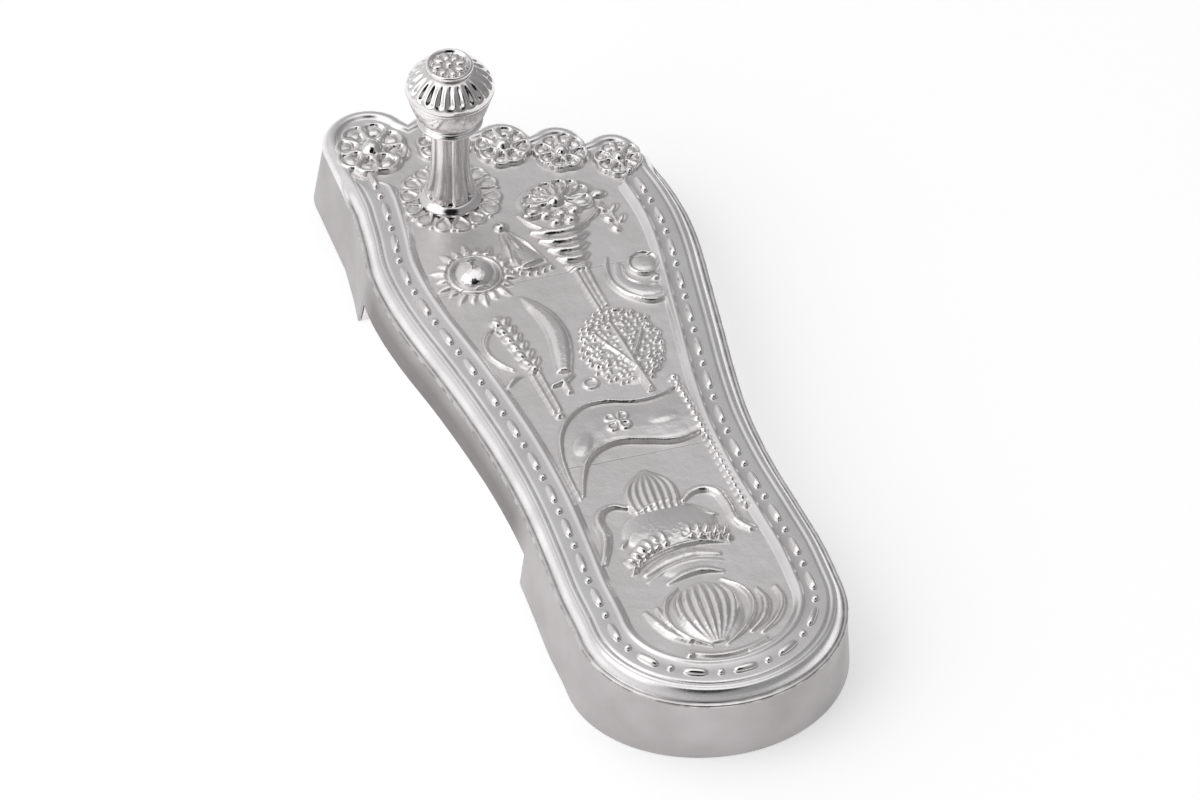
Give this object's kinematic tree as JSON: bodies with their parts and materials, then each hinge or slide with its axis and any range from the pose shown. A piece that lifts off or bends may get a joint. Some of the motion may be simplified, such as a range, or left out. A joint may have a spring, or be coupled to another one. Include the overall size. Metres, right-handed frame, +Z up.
{
  "type": "toe knob sandal",
  "caption": "Right silver toe knob sandal in the outline of a foot, with an embossed top, an arched sole and a mushroom knob on a lobed stem.",
  "frame": {"origin": "on the floor, under the middle of the box of the whole sandal", "axes": "+Z up, +Y towards the toes, the big toe on the -X side"},
  "size_m": [0.0976, 0.2512, 0.0745],
  "materials": {
    "embossed_silver": "silver sheet, polished relief on a satin stippled ground",
    "satin_silver": "plain satin silver",
    "plain_silver": "plain satin silver, worn by the floor",
    "foot_ring_silver": "polished silver",
    "stem_silver": "polished silver",
    "collar_silver": "polished silver, dark in the hollows",
    "bowl_silver": "polished silver",
    "cap_silver": "polished silver, dark in the flutes",
    "medallion_silver": "polished silver, dark in the hollows"
  },
  "bodies": {
    "root": {"top_plate": "embossed_silver", "side_wall": "satin_silver", "sole_plate": "plain_silver", "foot_ring": "foot_ring_silver", "knob_post": "stem_silver", "knob_collar": "collar_silver", "knob_bowl": "bowl_silver", "knob_cap": "cap_silver", "knob_medallion": "medallion_silver"}
  },
  "joints": []
}
